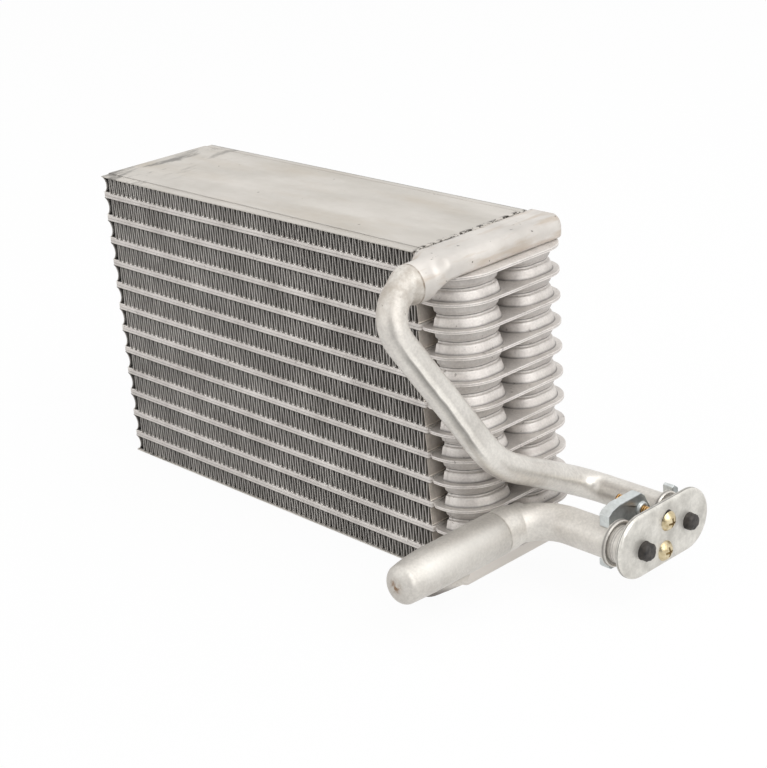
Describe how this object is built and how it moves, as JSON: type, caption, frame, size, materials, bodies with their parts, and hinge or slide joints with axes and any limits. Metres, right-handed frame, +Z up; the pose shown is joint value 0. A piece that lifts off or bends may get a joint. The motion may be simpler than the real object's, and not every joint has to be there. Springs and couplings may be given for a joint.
{
  "type": "evaporator core",
  "caption": "Laminated air-conditioning evaporator core: flat tubes with drawn cups, corrugated fins, headers, bent liquid and suction pipes, clamp plate and shipping cap.",
  "frame": {"origin": "centre of the underside of the bottom end plate, under the middle of the finned part", "axes": "+X along the flat tubes towards the cups and pipes, +Y from the front fin face to the back fin face, +Z up from the suction header to the liquid header"},
  "size_m": [0.3091, 0.1287, 0.1465],
  "materials": {
    "tube_aluminium": "satin, brazed",
    "fin_aluminium": "satin",
    "plate_aluminium": "satin, brazed",
    "header_aluminium": "satin, brazed",
    "pipe_aluminium": "satin, drawn",
    "zinc_steel": "zinc plated",
    "cap_aluminium": "tumbled",
    "black_rubber": "matte",
    "yellow_zinc": "yellow zinc plated"
  },
  "bodies": {
    "root": {"tube_01_upper": "tube_aluminium", "tube_01_lower": "tube_aluminium", "tube_02_upper": "tube_aluminium", "tube_02_lower": "tube_aluminium", "tube_03_upper": "tube_aluminium", "tube_03_lower": "tube_aluminium", "tube_04_upper": "tube_aluminium", "tube_04_lower": "tube_aluminium", "tube_05_upper": "tube_aluminium", "tube_05_lower": "tube_aluminium", "tube_06_upper": "tube_aluminium", "tube_06_lower": "tube_aluminium", "tube_07_upper": "tube_aluminium", "tube_07_lower": "tube_aluminium", "tube_08_upper": "tube_aluminium", "tube_08_lower": "tube_aluminium", "tube_09_upper": "tube_aluminium", "tube_09_lower": "tube_aluminium", "tube_10_upper": "tube_aluminium", "tube_10_lower": "tube_aluminium", "tube_11_upper": "tube_aluminium", "tube_11_lower": "tube_aluminium", "tube_12_upper": "tube_aluminium", "tube_12_lower": "tube_aluminium", "fin_01": "fin_aluminium", "fin_02": "fin_aluminium", "fin_03": "fin_aluminium", "fin_04": "fin_aluminium", "fin_05": "fin_aluminium", "fin_06": "fin_aluminium", "fin_07": "fin_aluminium", "fin_08": "fin_aluminium", "fin_09": "fin_aluminium", "fin_10": "fin_aluminium", "fin_11": "fin_aluminium", "fin_12": "fin_aluminium", "fin_13": "fin_aluminium", "top_end_plate": "plate_aluminium", "bottom_end_plate": "plate_aluminium", "top_header": "header_aluminium", "bottom_header": "header_aluminium", "liquid_pipe": "pipe_aluminium", "suction_elbow": "pipe_aluminium", "suction_manifold": "pipe_aluminium", "suction_pipe": "pipe_aluminium", "clamp_plate": "zinc_steel", "cap_plate": "cap_aluminium", "rubber_plugs": "black_rubber", "screws": "yellow_zinc"}
  },
  "joints": []
}
